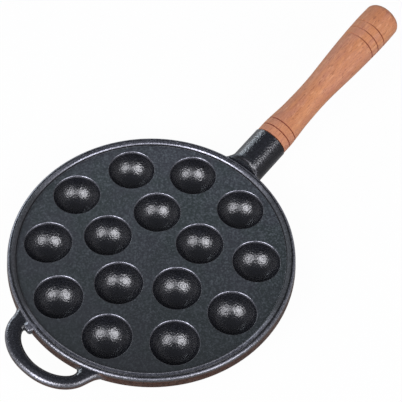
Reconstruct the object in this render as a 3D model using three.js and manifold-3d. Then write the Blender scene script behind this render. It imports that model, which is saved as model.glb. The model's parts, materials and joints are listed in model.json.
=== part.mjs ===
// Takoyaki maker: an iron casting with fifteen round cups, a turned wooden handle and the bolt through it.
// Millimetres, +Z up, handle towards +X. The origin is under the middle of the object, level with its feet.
import * as THREE from 'three';
import { mergeVertices } from 'three/addons/utils/BufferGeometryUtils.js';
import Module from 'manifold-3d';

// Plate, rim and skirt of the casting, with heights measured from the plate's top face
const panRadius = 120;
const plateThickness = 5;
const rimHeight = 1.8;
const rimFootWidth = 9.1;
const rimSlopeWidth = 2.3;
const rimLandWidth = 2.1;
const rimGrooveDepth = 0.4;
const rimGrooveWidth = 2.6;
const rimEdge = 1.4;
const skirtDrop = 8.2;
const skirtFlare = 0.8;
const skirtBottomWidth = 6.5;
const skirtInnerDraft = 1.6;

// Cups, on two rings, with the flat plate left between them and the rim, the rings and their neighbours
const cavityRadius = 20;
const cavityLip = 1;
const cupWall = 4.5;
const cupFloor = 5;
const cupFootRadius = 6.5;
const cupFillet = 2.5;
const cupsToRim = 3.1;
const ringGap = 4.3;
const leastOuterGap = 12;
const leastInnerGap = 8;

// Helper loop opposite the handle, a round bar bent to half an ellipse
const loopReach = 26;
const loopHalfWidth = 37.5;
const loopInset = 3;
const loopBarWidth = 9.4;
const loopBarHeight = 8.5;
const loopTop = 0.8;
const loopRootLength = 6.5;
const loopRootShare = 0.08;

// Handle socket, cast in one with the pan
const handleTiltDegrees = 11.3;
const socketInset = 1.7;
const socketAxisDrop = 6.8;
const socketLength = 39.4;
const socketRadius = 16.2;
const socketMouthChamfer = 0.8;
const socketFlare = 4;
const socketFlareLength = 9;
const socketEndWall = 7.4;
const socketBoreRadius = 12;
const socketBoreDepth = 27;
const socketRise = 45;
const socketGroundClearance = 1.8;

// Wooden handle, measured along its own axis from the socket's mouth
const handleLength = 170;
const handleJointRadius = 15.6;
const handleWaistRadius = 13.3;
const handleWaistPlace = 58;
const handleBellyRadius = 17.6;
const handleBellyPlace = 150;
const handleButtRadius = 17.3;
const handleButtRounding = 5;
const grooveWidth = 1.3;
const grooveDepth = 0.7;
const frontGroovePlaces = [7.8, 15.9];
const rearGrooveSpacing = 8.6;
const rearGrooveCount = 3;
const lastGrooveFromButt = 25.2;

// Bolt and washer
const boltRadius = 4;
const boltHeadAcross = 13;
const boltHeadHeight = 5.3;
const boltEdge = 1;
const boltThreadInPan = 17;
const boltEndRoom = 2;
const washerRadius = 8;
const washerThickness = 1.6;
const boltRecess = 3;
const counterboreRadius = 9;

// Gap between pieces that touch, and how far a cut runs past what it cuts
const seatGap = 0.3;
const overrun = 5;

// Facets round each turned shape, and steps along each curve
const panFacets = 60;
const cavityFacets = 20;
const cavityRings = 4;
const cupFacets = 16;
const cupRings = 4;
const loopFacets = 12;
const loopSteps = 30;
const socketFacets = 24;
const socketSteps = 3;
const handleFacets = 24;
const handleStations = 16;
const handleCurveSteps = 200;
const buttSteps = 4;
const smallFacets = 24;
const hexagonSides = 6;

// Worked out from the sizes above
const rimRadius = panRadius - skirtFlare;
const mouthRadius = cavityRadius + cavityLip;
const outerRingRadius = panRadius - rimFootWidth - cupsToRim - mouthRadius;
const innerRingRadius = outerRingRadius - 2 * mouthRadius - ringGap;
const restDrop = cavityRadius + cupFloor;
const cupRadius = cavityRadius + cupWall;
const cupCentreDrop = restDrop - Math.sqrt(cupRadius ** 2 - cupFootRadius ** 2);
const loopCentre = panRadius - loopInset;
const socketStart = panRadius - socketInset;
const handleTilt = THREE.MathUtils.degToRad(handleTiltDegrees);
const counterboreDepth = boltRecess + boltHeadHeight + washerThickness + 2 * seatGap;
const boltHoleRadius = boltRadius + seatGap;
const boltHoleEnd = socketLength - socketBoreDepth - boltThreadInPan - boltEndRoom;
const socketNoseLength = socketEndWall - boltHoleEnd;

const wasm = await Module();
wasm.setup();

const iron = new THREE.MeshStandardMaterial({ color: 0x2b2f31, roughness: 0.55, metalness: 0.6 });
const wood = new THREE.MeshStandardMaterial({ color: 0xc4845c, roughness: 0.6, metalness: 0 });
const steel = new THREE.MeshStandardMaterial({ color: 0xb8bbbe, roughness: 0.35, metalness: 1 });

// A solid turned about Z from an outline of [radius, height] points, bottom first
function turned(outline, facets) {
  const points = outline.map(([radius, height]) => new THREE.Vector2(radius, height));
  return new THREE.LatheGeometry(points, facets).rotateX(Math.PI / 2);
}

// A solid turned about X from an outline of [radius, place along X] points, lowest place first
function turnedAlongX(outline, facets) {
  return turned(outline, facets).rotateY(Math.PI / 2);
}

// Points on an arc of a circle in the outline's plane, angles in radians
function arc(centreRadius, centreHeight, radius, from, to, steps) {
  const points = [];
  for (let i = 0; i <= steps; i += 1) {
    const angle = from + ((to - from) * i) / steps;
    points.push([centreRadius + radius * Math.cos(angle), centreHeight + radius * Math.sin(angle)]);
  }
  return points;
}

// A closed mesh as a solid that can be joined and cut
function solidOf(geometry) {
  const bare = geometry.clone();
  bare.deleteAttribute('normal');
  bare.deleteAttribute('uv');
  const merged = mergeVertices(bare);
  const corners = merged.index.array;
  const triVerts = [];
  for (let i = 0; i < corners.length; i += 3) {
    const [a, b, c] = [corners[i], corners[i + 1], corners[i + 2]];
    if (a !== b && b !== c && c !== a) {
      triVerts.push(a, b, c);
    }
  }
  return new wasm.Manifold(
    new wasm.Mesh({
      numProp: 3,
      vertProperties: new Float32Array(merged.attributes.position.array),
      triVerts: new Uint32Array(triVerts),
    }),
  );
}

// A solid's faces as a geometry
function geometryOf(solid) {
  const mesh = solid.getMesh();
  const geometry = new THREE.BufferGeometry();
  geometry.setAttribute('position', new THREE.BufferAttribute(new Float32Array(mesh.vertProperties), 3));
  geometry.setIndex(new THREE.BufferAttribute(new Uint32Array(mesh.triVerts), 1));
  return geometry;
}

// Middles of one ring's cups, as many as fit, with the handle's line halfway between two of them
function ringPlaces(radius, leastGap) {
  const count = Math.floor((2 * Math.PI * radius) / (2 * mouthRadius + leastGap));
  const step = (2 * Math.PI) / count;
  const places = [];
  for (let i = 0; i < count; i += 1) {
    const angle = step * (i + 0.5);
    places.push([radius * Math.cos(angle), radius * Math.sin(angle)]);
  }
  return places;
}

// Plate with its skirt below and its low rim above
function plateAndRim() {
  const innerBottom = panRadius - skirtBottomWidth;
  const foot = panRadius - rimFootWidth;
  const landStart = foot + rimSlopeWidth;
  const landEnd = landStart + rimLandWidth;
  return turned(
    [
      [0, -plateThickness],
      [innerBottom - skirtInnerDraft, -plateThickness],
      [innerBottom, -skirtDrop],
      [panRadius, -skirtDrop],
      [rimRadius, rimHeight - rimEdge],
      [rimRadius - rimEdge / 2, rimHeight - rimEdge / 4],
      [rimRadius - rimEdge, rimHeight],
      [landEnd + rimGrooveWidth / 2, rimHeight - rimGrooveDepth],
      [landEnd, rimHeight],
      [landStart, rimHeight],
      [foot, 0],
      [0, 0],
    ],
    panFacets,
  );
}

// Outside of one cup, from its flat foot up into the plate
function cupOutside() {
  const footAngle = -Math.acos(cupFootRadius / cupRadius);
  const neck = -plateThickness - cupFillet;
  const neckAngle = Math.asin((neck + cupCentreDrop) / cupRadius);
  const middle = -plateThickness / 2;
  return turned(
    [
      [0, -restDrop],
      ...arc(0, -cupCentreDrop, cupRadius, footAngle, neckAngle, cupRings),
      [cupRadius + cupFillet, -plateThickness],
      [cupRadius, middle],
      [0, middle],
    ],
    cupFacets,
  );
}

// Hollow of one cup, with the small lip at its mouth
function cupHollow() {
  const lipAngle = -Math.asin(cavityLip / cavityRadius);
  return turned(
    [
      ...arc(0, 0, cavityRadius, -Math.PI / 2, lipAngle, cavityRings),
      [mouthRadius, 0],
      [mouthRadius, overrun],
      [0, overrun],
    ],
    cavityFacets,
  );
}

// Path of the helper loop, out of the rim on one side and back into it on the other
class LoopPath extends THREE.Curve {
  getPoint(share, target = new THREE.Vector3()) {
    const height = loopTop - loopBarHeight / 2;
    if (share < loopRootShare) {
      const back = loopRootLength * (1 - share / loopRootShare);
      return target.set(-loopCentre + back, loopHalfWidth, height);
    }
    if (share > 1 - loopRootShare) {
      const back = loopRootLength * ((share - 1) / loopRootShare + 1);
      return target.set(-loopCentre + back, -loopHalfWidth, height);
    }
    const angle = (Math.PI * (share - loopRootShare)) / (1 - 2 * loopRootShare);
    return target.set(-loopCentre - loopReach * Math.sin(angle), loopHalfWidth * Math.cos(angle), height);
  }
}

// Helper loop, swept with a flattened round section
function helperLoop() {
  const section = new THREE.Shape();
  for (let i = 0; i < loopFacets; i += 1) {
    const angle = (2 * Math.PI * (i + 0.5)) / loopFacets;
    const point = [(loopBarHeight / 2) * Math.cos(angle), (loopBarWidth / 2) * Math.sin(angle)];
    if (i === 0) {
      section.moveTo(...point);
    } else {
      section.lineTo(...point);
    }
  }
  return new THREE.ExtrudeGeometry(section, { steps: loopSteps, extrudePath: new LoopPath() });
}

// Moves a solid turned along X onto the handle's axis, which starts at the pan's wall
function ontoHandleAxis(geometry) {
  return geometry.rotateY(-handleTilt).translate(socketStart, 0, -socketAxisDrop);
}

// Outside of the handle's socket, with a rounded nose under the plate and a flare where it leaves the wall
function socketOutside() {
  const nose = arc(0, 0, 1, -Math.PI / 2, 0, socketSteps).slice(0, -1);
  const flare = [];
  for (let i = 0; i <= socketSteps; i += 1) {
    const share = i / socketSteps;
    flare.push([socketRadius + socketFlare * (1 - share) ** 2, socketFlareLength * share]);
  }
  return ontoHandleAxis(
    turnedAlongX(
      [
        ...nose.map(([across, along]) => [across * socketRadius, along * socketNoseLength]),
        ...flare,
        [socketRadius, socketLength - socketMouthChamfer],
        [socketRadius - socketMouthChamfer, socketLength],
        [0, socketLength],
      ],
      socketFacets,
    ),
  );
}

// Bore for the handle's tenon, and the blind hole for the bolt behind it
function socketBore() {
  const floor = socketLength - socketBoreDepth;
  return ontoHandleAxis(
    turnedAlongX(
      [
        [0, boltHoleEnd],
        [boltHoleRadius, boltHoleEnd],
        [boltHoleRadius, floor],
        [socketBoreRadius, floor],
        [socketBoreRadius, socketLength + overrun],
        [0, socketLength + overrun],
      ],
      socketFacets,
    ),
  );
}

// Room over the plate and rim, which the socket's root slopes away from
function roomOverPan() {
  const slope = Math.tan(THREE.MathUtils.degToRad(socketRise));
  const height = 2 * socketRadius;
  return turned(
    [
      [0, -plateThickness / 2],
      [rimRadius - 2 * rimEdge, -plateThickness / 2],
      [rimRadius - rimEdge, rimHeight],
      [rimRadius - rimEdge + height / slope, rimHeight + height],
      [0, rimHeight + height],
    ],
    panFacets,
  );
}

// Room under the socket's root, which stays clear of the surface that the cups stand on
function roomUnderSocket() {
  const size = 2 * (socketRadius + socketFlare);
  const top = -restDrop + socketGroundClearance;
  const box = new THREE.BoxGeometry(size + socketLength, size, size);
  return box.translate(socketStart, 0, top - size / 2);
}

// The whole casting, with its places measured from the middle of the plate's top face
function castPan() {
  const outerCups = ringPlaces(outerRingRadius, leastOuterGap);
  const innerCups = ringPlaces(innerRingRadius, leastInnerGap);
  const cups = [...outerCups, ...innerCups];
  const room = solidOf(roomOverPan()).add(solidOf(roomUnderSocket()));
  const socket = solidOf(socketOutside()).subtract(room);
  let casting = solidOf(plateAndRim()).add(socket).add(solidOf(helperLoop()));
  for (const [x, y] of cups) {
    casting = casting.add(solidOf(cupOutside().translate(x, y, 0)));
  }
  for (const [x, y] of cups) {
    casting = casting.subtract(solidOf(cupHollow().translate(x, y, 0)));
  }
  return geometryOf(casting.subtract(solidOf(socketBore())));
}

// Outline of the turned wood from the socket's mouth to the butt, without its grooves
function handleCurve() {
  const toWaist = handleJointRadius - handleWaistRadius;
  const toBelly = handleBellyRadius - handleWaistRadius;
  const rear = handleBellyPlace - handleWaistPlace;
  const shoulderShares = [[0.17, -0.04], [0.36, 0.3], [0.57, 0.72], [0.78, 0.94]];
  const rearShares = [[0.2, 0.11], [0.37, 0.36], [0.57, 0.65], [0.76, 0.89]];
  const shoulder = shoulderShares.map(([place, drop]) => {
    return [place * handleWaistPlace, handleJointRadius - drop * toWaist];
  });
  const swell = rearShares.map(([place, rise]) => {
    return [handleWaistPlace + place * rear, handleWaistRadius + rise * toBelly];
  });
  const points = [
    [0, handleJointRadius],
    ...shoulder,
    [handleWaistPlace, handleWaistRadius],
    ...swell,
    [handleBellyPlace, handleBellyRadius],
    [handleLength - handleButtRounding, handleButtRadius],
  ];
  return new THREE.SplineCurve(points.map(([place, radius]) => new THREE.Vector2(place, radius)));
}

// Radius of the turned wood at a place along it
function handleRadiusAt(place, curvePoints) {
  const next = Math.max(1, curvePoints.findIndex((point) => point.x >= place));
  const [before, after] = [curvePoints[next - 1], curvePoints[next]];
  const share = (place - before.x) / (after.x - before.x);
  return before.y + share * (after.y - before.y);
}

// Places of the turned grooves along the wood
function groovePlaces() {
  const places = [...frontGroovePlaces];
  for (let i = rearGrooveCount - 1; i >= 0; i -= 1) {
    places.push(handleLength - lastGrooveFromButt - i * rearGrooveSpacing);
  }
  return places;
}

// Wooden handle: tenon, shoulder, grooved grip, rounded butt, and the bolt's hole with its counterbore
function woodenHandle() {
  const fine = handleCurve().getSpacedPoints(handleCurveSteps);
  const straight = handleLength - handleButtRounding;
  const outer = [];
  for (let i = 0; i <= handleStations; i += 1) {
    const place = seatGap + ((straight - seatGap) * i) / handleStations;
    outer.push([handleRadiusAt(place, fine), place]);
  }
  let grip = outer;
  for (const place of groovePlaces()) {
    const radius = handleRadiusAt(place, fine);
    grip = grip.filter(([, at]) => Math.abs(at - place) > grooveWidth);
    const [start, end] = [place - grooveWidth / 2, place + grooveWidth / 2];
    grip.push([radius, start], [radius - grooveDepth, place], [radius, end]);
  }
  grip.sort((first, second) => first[1] - second[1]);
  const tenonRadius = socketBoreRadius - seatGap;
  const tenonEnd = -socketBoreDepth + seatGap;
  const buttFlat = handleButtRadius - handleButtRounding;
  return turnedAlongX(
    [
      [boltHoleRadius, tenonEnd],
      [tenonRadius, tenonEnd],
      [tenonRadius, seatGap],
      ...grip,
      ...arc(buttFlat, straight, handleButtRounding, 0, Math.PI / 2, buttSteps).slice(1),
      [counterboreRadius, handleLength],
      [counterboreRadius, handleLength - counterboreDepth],
      [boltHoleRadius, handleLength - counterboreDepth],
      [boltHoleRadius, tenonEnd],
    ],
    handleFacets,
  );
}

// Bolt through the handle, with a hexagon head, its end in the pan's blind hole
function handleBolt() {
  const headTop = handleLength - boltRecess;
  const headBase = headTop - boltHeadHeight;
  const end = -socketBoreDepth - boltThreadInPan;
  const shank = turnedAlongX(
    [
      [0, end],
      [boltRadius - boltEdge, end],
      [boltRadius, end + boltEdge],
      [boltRadius, headBase + boltEdge],
      [0, headBase + boltEdge],
    ],
    smallFacets,
  );
  const corner = boltHeadAcross / Math.sqrt(3);
  const hexagon = turnedAlongX(
    [
      [0, headBase],
      [corner, headBase],
      [corner, headTop],
      [0, headTop],
    ],
    hexagonSides,
  );
  const crown = turnedAlongX(
    [
      [0, headBase],
      [corner, headBase],
      [corner, headTop - boltEdge],
      [corner - 2 * boltEdge, headTop],
      [0, headTop],
    ],
    smallFacets,
  );
  return geometryOf(solidOf(hexagon).intersect(solidOf(crown)).add(solidOf(shank)));
}

// Washer under the bolt's head
function boltWasher() {
  const base = handleLength - counterboreDepth + seatGap;
  return turnedAlongX(
    [
      [boltHoleRadius, base],
      [washerRadius, base],
      [washerRadius, base + washerThickness],
      [boltHoleRadius, base + washerThickness],
      [boltHoleRadius, base],
    ],
    smallFacets,
  );
}

function named(name, geometry, material) {
  const mesh = new THREE.Mesh(geometry, material);
  mesh.name = name;
  return mesh;
}

// Pieces on the handle's axis, measured from the socket's mouth
const handle = new THREE.Group();
handle.add(
  named('wooden_handle', woodenHandle(), wood),
  named('handle_bolt', handleBolt(), steel),
  named('bolt_washer', boltWasher(), steel),
);
handle.rotation.y = -handleTilt;
handle.position.set(
  socketStart + socketLength * Math.cos(handleTilt),
  0,
  -socketAxisDrop + socketLength * Math.sin(handleTilt),
);

const maker = new THREE.Group();
maker.add(named('cast_pan', castPan(), iron), handle);

// The origin goes under the middle of the object's box, level with the cups' feet
const box = new THREE.Box3().setFromObject(maker, true);
maker.position.set(-(box.min.x + box.max.x) / 2, 0, restDrop);
maker.updateMatrixWorld(true);

export default maker;
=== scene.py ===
# Takoyaki maker: an oiled iron casting with fifteen round cavities, a turned wooden handle and its bolt
import json
import math
from collections import namedtuple

import bpy
import bmesh
import numpy as np
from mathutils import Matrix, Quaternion, Vector

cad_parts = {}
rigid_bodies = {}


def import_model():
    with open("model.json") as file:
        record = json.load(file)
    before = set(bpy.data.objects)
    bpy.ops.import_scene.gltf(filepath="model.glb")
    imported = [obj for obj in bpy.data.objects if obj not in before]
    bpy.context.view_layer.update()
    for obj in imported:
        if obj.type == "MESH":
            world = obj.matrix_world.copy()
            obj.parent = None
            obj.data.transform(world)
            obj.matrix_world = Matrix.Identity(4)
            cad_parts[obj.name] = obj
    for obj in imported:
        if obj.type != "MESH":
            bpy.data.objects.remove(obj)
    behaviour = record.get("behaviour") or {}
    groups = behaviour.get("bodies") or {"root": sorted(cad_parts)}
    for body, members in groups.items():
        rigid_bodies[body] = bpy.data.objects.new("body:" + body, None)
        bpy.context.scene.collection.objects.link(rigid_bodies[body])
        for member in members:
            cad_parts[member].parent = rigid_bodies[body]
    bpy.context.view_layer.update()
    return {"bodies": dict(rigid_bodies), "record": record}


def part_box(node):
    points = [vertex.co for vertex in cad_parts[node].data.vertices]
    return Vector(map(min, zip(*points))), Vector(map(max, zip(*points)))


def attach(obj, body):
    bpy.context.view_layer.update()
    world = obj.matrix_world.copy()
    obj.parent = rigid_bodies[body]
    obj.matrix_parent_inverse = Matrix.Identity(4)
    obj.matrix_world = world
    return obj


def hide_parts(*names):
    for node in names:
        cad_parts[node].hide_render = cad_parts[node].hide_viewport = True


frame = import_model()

# All lengths are in metres. Places that come from the frame
record = frame["record"]
CAVITY_BOXES = [hole["box_m"] for hole in record["physics"]["openings"] if hole["name"].startswith("cavity")]
PAN_X = record["mounts"][0]["pos_m"][0]
PLATE_Z = CAVITY_BOXES[0][1][2]
PAN_ORIGIN = Vector((PAN_X, 0, PLATE_Z))
CUPS = [((low[0] + high[0]) / 2 - PAN_X, (low[1] + high[1]) / 2) for low, high in CAVITY_BOXES]
BODY = next(iter(frame["bodies"]))

# Plate, rim and skirt, with heights from the plate's top face
PAN_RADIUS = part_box("cast_pan")[1].y
PLATE_THICKNESS = 0.005
RIM_HEIGHT = 0.0024
RIM_EDGE = 0.0022
RIM_DIP = 0.0002
CREST_HEIGHT = 0.0030
CREST_FOOT = PAN_RADIUS - 0.0084
CREST_FOOT_ROUNDING = 0.0004
CREST_FACE = math.radians(70)
CREST_ROUNDING = 0.0030
CREST_END = PAN_RADIUS - 0.0046
CREST_END_ROUNDING = 0.0004
CREST_FALL = math.radians(60)
SKIRT_DROP = 0.0082
SKIRT_FLARE = 0.0008
SKIRT_BOTTOM_WIDTH = 0.0065
SKIRT_INNER_DRAFT = 0.0016
SKIRT_ROUNDING = 0.0008
SKIRT_OUTER_FILLET = 3 * SKIRT_ROUNDING
SKIRT_INNER_FILLET = 2 * SKIRT_ROUNDING
RIM_RADIUS = PAN_RADIUS - SKIRT_FLARE
BEAD_START = RIM_RADIUS - RIM_EDGE
BEAD_END = RIM_RADIUS + 0.00001
WALL_TOP = RIM_HEIGHT - RIM_EDGE
WALL_LEAN = SKIRT_FLARE / (SKIRT_DROP + WALL_TOP)

# Cavities and the cups round them
CAVITY_RADIUS = 0.0198
LIP_ROUNDING = 0.0008
CUP_RADIUS = 0.0245
CUP_FOOT_RADIUS = 0.0065
CUP_FILLET = 0.004

# Helper loop
LOOP_CENTRE = PAN_RADIUS - 0.003
LOOP_REACH = 0.0248
LOOP_HALF_WIDTH = 0.0363
LOOP_SHIFT = -0.0009
LOOP_BAR_WIDTH = 0.0103
LOOP_LEFT_BAR_WIDTH = 0.0134
LOOP_BAR_HEIGHT = 0.0085
LOOP_TOP = 0.0008
LOOP_ROUNDING = 0.0036
LOOP_ROOT_LENGTH = 0.0065
LOOP_BOX_END = -0.8 * LOOP_CENTRE
LOOP_LEFT_FILLET = 0.008
LOOP_RIGHT_FILLET = 0.012

# Casting lump in the loop's left corner, with the waves of its rough skin in radians per metre
LUMP_MIDDLE = np.array([-0.1180, 0.0243, -0.0016])
LUMP_HALF = np.array([0.0032, 0.0043, 0.0034])
LUMP_TURN = math.radians(-12)
LUMP_ROUNDING = 0.0026
LUMP_ROUGHNESS = 0.00022
LUMP_WAVES = (2900, 3300, 2100)
LUMP_SWAY = 1.7
LUMP_SWAY_WAVE = 2300

# Handle socket
HANDLE_TILT = math.radians(11.3)
SOCKET_START = PAN_RADIUS - 0.0017
SOCKET_AXIS_DROP = 0.0068
SOCKET_LENGTH = 0.0394
SOCKET_RADIUS = 0.0162
SOCKET_CHAMFER = 0.0008
SOCKET_NOSE = 0.014
SOCKET_BORE_RADIUS = 0.012
SOCKET_BORE_DEPTH = 0.027
SOCKET_GROUND_CLEARANCE = 0.0018
SOCKET_EDGE_ROUNDING = 0.003
SOCKET_RAMP = math.radians(84)
SOCKET_RAMP_ROUNDING = 0.0032
SOCKET_LEFT_FILLET = 0.0085
SOCKET_RIGHT_FILLET = 0.005

# Wooden handle, as places along it from the socket's mouth and radii there
HANDLE_LENGTH = 0.1699
HANDLE_ROUNDING = 0.0065
HANDLE_SHOULDER = 0.0004
HANDLE_OUTLINE = [
    (0.0000, 0.01560), (0.0100, 0.01570), (0.0210, 0.01495), (0.0330, 0.01395), (0.0440, 0.01355),
    (0.0580, 0.01330), (0.0740, 0.01375), (0.0860, 0.01455), (0.1040, 0.01580), (0.1220, 0.01680),
    (0.1345, 0.01730), (0.1500, 0.01755), (0.1650, 0.01725),
]
FRONT_GROOVES = [0.0078, 0.0159]
REAR_GROOVES = [0.1276, 0.1362, 0.1448]
GROOVE_WIDTH = 0.0013
GROOVE_DEPTH = 0.0007
COUNTERBORE_RADIUS = 0.009
COUNTERBORE_DEPTH = 0.0105
COUNTERBORE_EDGE = 0.0005

# Bolt and washer
BOLT_RADIUS = 0.004
BOLT_HEAD_ACROSS = 0.013
BOLT_HEAD_HEIGHT = 0.0053
BOLT_RECESS = 0.003
BOLT_THREAD = 0.017
BOLT_EDGE = 0.0006
BOLT_CROWN_RADIUS = 0.95 * BOLT_HEAD_ACROSS / 2
BOLT_CROWN_SLOPE = math.tan(math.radians(30))
WASHER_RADIUS = 0.008
WASHER_THICKNESS = 0.0016
WASHER_EDGE = 0.0003
SEAT_GAP = 0.0003
BOLT_HOLE_RADIUS = BOLT_RADIUS + SEAT_GAP

# How far a cut runs past what it cuts
OVERRUN = 0.005

# Fields: depth of fillets' tails under what they join and of the plate's top, and a fillet's reach in widths
TAIL = 0.00012
FIELD_TOP_DEPTH = 5 * TAIL
FILLET_SPREAD = 1.4

# Fineness of turned meshes: faces round them, steps along their arcs and rows of points along the wood
PAN_SEGMENTS = 360
CAVITY_SEGMENTS = 80
SOCKET_SEGMENTS = 128
BOLT_HOLE_SEGMENTS = 64
HANDLE_SEGMENTS = 128
BOLT_SEGMENTS = 48
WASHER_SEGMENTS = 64
GROUND_SEGMENTS = 8
HEXAGON = 6
SMALL_ARC_STEPS = 3
CREST_SIDE_STEPS = 4
SKIRT_STEPS = 5
RIM_EDGE_STEPS = 8
CREST_STEPS = 10
BUTT_STEPS = 12
CAVITY_STEPS = 18
LIP_STEPS = 5
DIP_STEPS = 4
HANDLE_STATIONS = 110
GROOVE_STATIONS = 9
GROOVE_SPREAD = 0.55
ON_AXIS = 1e-9

# Fineness of grown meshes: grid steps, cells round the box, and how vertices settle onto the surface
SOCKET_STEP = 0.0008
LOOP_STEP = 0.0007
UNDERSIDE_STEP = 0.0018
LOOP_LINE_STEPS = 64
GRID_MARGIN = 1.5
SETTLE_ROUNDS = 5
SLOPE_PARTS = 40
LEAST_STEEPNESS = 0.2
LEAST_MOVE = 1e-12

# Shading: edges shorter than a sliver go, and edges bent by more than these angles stay sharp
SLIVER = 2e-6
SHARP_EDGE = math.radians(35)
BOLT_SHARP_EDGE = math.radians(25)

# Marks on the casting that its finish reads, among them painted shade and painted highlights, and a height or
# width too small to see
FINISH_MARKS = ("cavity", "wall", "edge", "matt", "shade_and_dark_tone", "dull")
HAIR = 0.0001

# Wear of the lips and the rim, with painted highlights along one direction and on the bead, and painted shade
# on the crest. A span runs from where a mark starts to where it is full
HIGHLIGHT_DIRECTION = np.array([math.cos(math.radians(41)), math.sin(math.radians(41))])
LIP_HIGHLIGHT_SPAN = (0.154, 0.923)
LIP_LEAST_WEAR = 0.1
LIP_BAND_MIDDLE = CAVITY_RADIUS + LIP_ROUNDING / 3
LIP_BAND_REACH = 0.8 * LIP_ROUNDING
LIP_BAND_HEIGHTS = (-1.1 * LIP_ROUNDING, -LIP_ROUNDING / 30)
CREST_HIGHLIGHT_SPAN = (0.45, 0.80)
CREST_LEAST_WEAR = 0.05
CREST_LEVEL_SPAN = (0.5, 0.7)
CREST_AWAY_SHADE = 0.5
FALL_DARKNESS = 0.7
FALL_LEAST_HEIGHT = 0.9 * RIM_HEIGHT
DIP_MATTNESS = 0.5
DIP_LEAST_UPWARD = 0.6
BEAD_WEAR_AND_HIGHLIGHT = 0.6
BEAD_SLOPE = 0.77
BEAD_SLOPE_REACH = 0.35

# Wear with painted highlights, rust, a darker tone and painted shade on the loop and the socket
LOOP_RUST_TOP = LOOP_TOP - 0.26 * LOOP_BAR_HEIGHT
LOOP_DARKNESS = 0.15
LOOP_SLOPE = 0.7
LOOP_SLOPE_REACH = 0.32
LOOP_HIGHLIGHT_MIDDLE = -0.25
LOOP_HIGHLIGHT_FALL = 1.2
LOOP_LEAST_WEAR = 0.3
LUMP_WEAR_AND_HIGHLIGHT = 0.5
LUMP_SPREAD = 1.2
# Painted shade on the socket's right flank and in the ramp at its root
SOCKET_FLANK_SPAN = (-0.60, -0.75)
SOCKET_RAMP_SPAN = (-1.5 * SOCKET_RAMP_ROUNDING, -0.5 * SOCKET_RAMP_ROUNDING)
SOCKET_RAMP_SIDE = -0.3

# Rust on the outer wall: how far from it rust reaches, and the height at which it has faded
RUST_REACH = 2 * SKIRT_ROUNDING
RUST_TOP = 2 * WALL_TOP

# Burns in the wood, all round at the front grooves and fading across the rear grooves, and painted shadow at
# the shoulder
REAR_BURN_MIDDLE = 0.45
REAR_BURN_LEAST = 0.15
SHOULDER_SHADOW_SPAN = (1.5 * HANDLE_SHOULDER, 0.5 * HANDLE_SHOULDER)

# Noises, as features per metre, detail and roughness, and spans of their values
IRON_GRAIN = (700, 3, 0.65)
IRON_PATCHES = (22, 3, 0.60)
IRON_STAINS = (90, 4, 0.60)
IRON_COARSE = (700, 1, 0.50)
IRON_FINE = (1100, 1, 0.50)
WOOD_FIGURE = (130, 3, 0.55)
ZINC_MOTTLE = (500, 3, 0.60)
ZINC_RELIEF = (2500, 2, 0.50)
SPECKLE_SPAN = (0.42, 0.70)
PATCH_SPAN = (0.42, 0.58)
PLATE_GRAIN_SPAN = (0.47, 0.66)
STAIN_SPAN = (0.35, 0.65)
RUST_GRAIN_SPAN = (0.46, 0.64)
PIT_SPAN = (0.46, 0.62)
FIGURE_SPAN = (0.35, 0.65)

# Tones in steps of 1/255, alone or as a pair that a noise mixes
PLATE_TONES = ((41, 51, 51), (49, 51, 58))
PLATE_GRAIN_TONE = (95, 102, 107)
# Painted shade on the plate, strongest on the side away from the socket
PLATE_SHADE_TONE = (14, 17, 19)
BLACK_TONES = ((13, 14, 18), (36, 37, 44))
# Painted shade, and the loop's darker tone
SHADE_AND_DARK_TONES = ((20, 20, 25), (42, 42, 48))
RUST_TONES = ((86, 55, 42), (104, 78, 66))
RUST_GRAIN_TONE = (46, 28, 22)
# Bare metal from wear, laid where painted highlights go
BARE_METAL_AND_HIGHLIGHT_TONES = ((118, 119, 128), (190, 190, 200))
WOOD_TONES = ((216, 151, 106), (196, 131, 93))
# Painted shade on the wood's side towards +Y
SHADED_SIDE_TONE = (150, 98, 72)
# Burns, and the painted shadow at the joint by the socket
BURN_AND_SHADOW_TONE = (112, 38, 18)
ZINC_TONES = ((168, 172, 178), (206, 206, 200))

# Iron: painted shade that darkens the plate away from the socket, and how its marks set metal, roughness and
# relief
PLATE_LIGHTER_DIRECTION = (math.cos(math.radians(25)), math.sin(math.radians(25)), 0)
PLATE_SHADE_SHARE = 0.85
IRON_IOR = 1.95
IRON_METAL = 0.9
SHADE_AND_DARK_TONE_METAL = 0.85
IRON_ROUGHNESS = 0.21
MATT_ROUGHNESS = 0.17
WALL_ROUGHNESS = 0.28
PIT_ROUGHNESS = 0.1
DULL_ROUGHNESS = 0.4
SMOOTHED_RELIEF = 0.86
FINE_RELIEF = 0.12
IRON_RELIEF_DEPTH = 0.0003

# Wood: layers in the order that they go on, each with its grain's shape, noise, span, strength and tone
Layer = namedtuple("Layer", "grain noise span strength tone")
LONG_GRAIN = (0.08, 1, 1)
SHORT_GRAIN = (0.25, 1, 1)
WOOD_LAYERS = {
    "blush": Layer(SHORT_GRAIN, (95, 3, 0.60), (0.42, 0.62), 0.55, (187, 130, 113)),
    "fibre": Layer(LONG_GRAIN, (800, 3, 0.60), (0.35, 0.70), 0.45, (176, 108, 74)),
    "pores": Layer(SHORT_GRAIN, (1500, 2, 0.50), (0.52, 0.66), 0.35, (150, 98, 78)),
    "light": Layer(SHORT_GRAIN, (420, 2, 0.50), (0.56, 0.70), 0.45, (226, 168, 128)),
    "flecks": Layer(SHORT_GRAIN, (760, 2, 0.50), (0.60, 0.70), 0.60, (140, 84, 62)),
}
# Painted shade along the handle's side towards +Y: its direction, span and share
SIDEWAYS = (0, 1, 0)
SHADED_SIDE_SPAN = (-0.002, HANDLE_OUTLINE[0][1])
SHADED_SIDE_SHARE = 0.3
WOOD_ROUGHNESS = 0.5
WOOD_SPECULAR = 0.25
WOOD_RELIEF_DEPTH = 0.00006

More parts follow.
